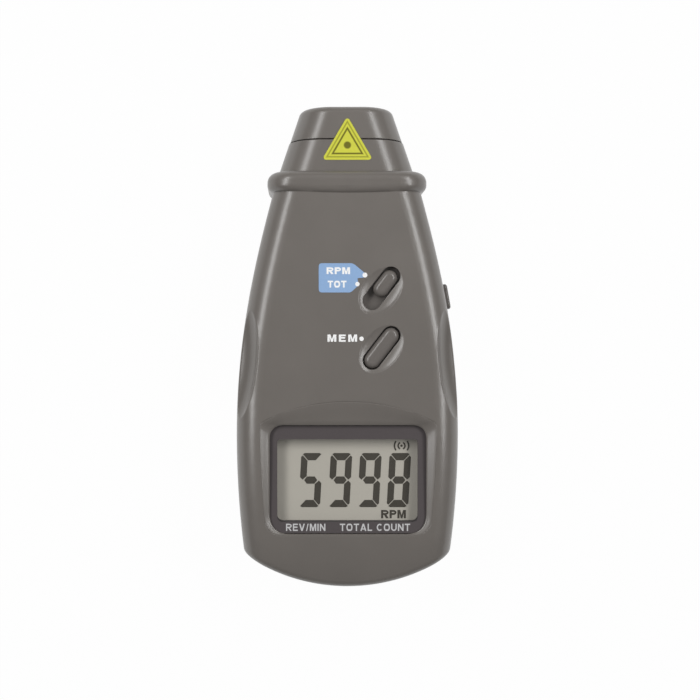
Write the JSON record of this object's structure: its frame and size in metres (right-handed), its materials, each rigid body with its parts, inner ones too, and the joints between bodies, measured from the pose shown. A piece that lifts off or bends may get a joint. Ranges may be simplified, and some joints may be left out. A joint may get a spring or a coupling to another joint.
{
  "type": "digital tachometer",
  "caption": "Handheld photo tachometer: waisted grey case with finger scoops, sunk display, slide and push controls and a tapering sensing head with beam window.",
  "frame": {"origin": "middle of the outline on the flat back, with the instrument lying on its back", "axes": "+Y along the body to the sensing head, +Z out of the display, +X to the side with the push button"},
  "size_m": [0.0722, 0.156, 0.037],
  "materials": {
    "housing": "satin, fine-grained dark warm grey",
    "control": "satin grey",
    "clear_window": "clear, polished",
    "filter_window": "dark red, polished",
    "frame_plastic": "matte dark grey",
    "display_glass": "pale grey, satin",
    "contact_rubber": "matte",
    "board": "green solder mask",
    "chip": "matte black",
    "can": "satin",
    "black_plastic": "matte black",
    "lens": "clear, polished",
    "brass": "satin",
    "sensor": "dark, glossy",
    "plated_sheet": "nickel plated",
    "cell": "printed sleeve, satin",
    "screw": "zinc plated",
    "mark": "yellow print"
  },
  "bodies": {
    "housing": {"front_cover": "housing", "rear_cover": "housing", "nose_cap": "housing", "beam_window": "filter_window", "display_window": "clear_window", "lcd_frame": "frame_plastic", "lcd_glass": "display_glass", "lcd_connectors": "contact_rubber", "main_board": "board", "controller_chip": "chip", "crystal": "can", "capacitors": "chip", "board_link": "black_plastic", "sensor_board": "board", "optic_block": "black_plastic", "laser_module": "brass", "laser_lens": "lens", "receiver_lens": "lens", "photo_sensor": "sensor", "mode_switch": "black_plastic", "mem_switch": "black_plastic", "side_switch": "black_plastic", "battery_cell_1": "cell", "battery_cell_2": "cell", "battery_cell_3": "cell", "battery_cell_4": "cell", "battery_plates": "plated_sheet", "contact_springs": "plated_sheet", "case_screws": "screw", "board_screws": "screw", "aim_mark": "mark"},
    "mode": {"mode_knob": "control", "mode_slider": "black_plastic"},
    "mem": {"mem_button": "control", "mem_plunger": "black_plastic"},
    "side": {"side_button": "control", "side_plunger": "black_plastic"},
    "door": {"battery_door": "housing"}
  },
  "joints": [
    {"name": "mode_slide", "type": "slide", "parent": "housing", "child": "mode", "axis": [-0.6088, -0.7934, 0], "range_m": [0, 0.004]},
    {"name": "mem_push", "type": "slide", "parent": "housing", "child": "mem", "axis": [0, 0, -1], "range_m": [0, 0.0008], "stiffness_N_per_m": 1500, "springref_m": -0.0002},
    {"name": "side_push", "type": "slide", "parent": "housing", "child": "side", "axis": [-0.9844, -0.1762, 0], "range_m": [0, 0.0012], "stiffness_N_per_m": 1200, "springref_m": -0.0002},
    {"name": "door_slide", "type": "slide", "parent": "housing", "child": "door", "axis": [0, -1, 0], "range_m": [0, 0.008]}
  ]
}
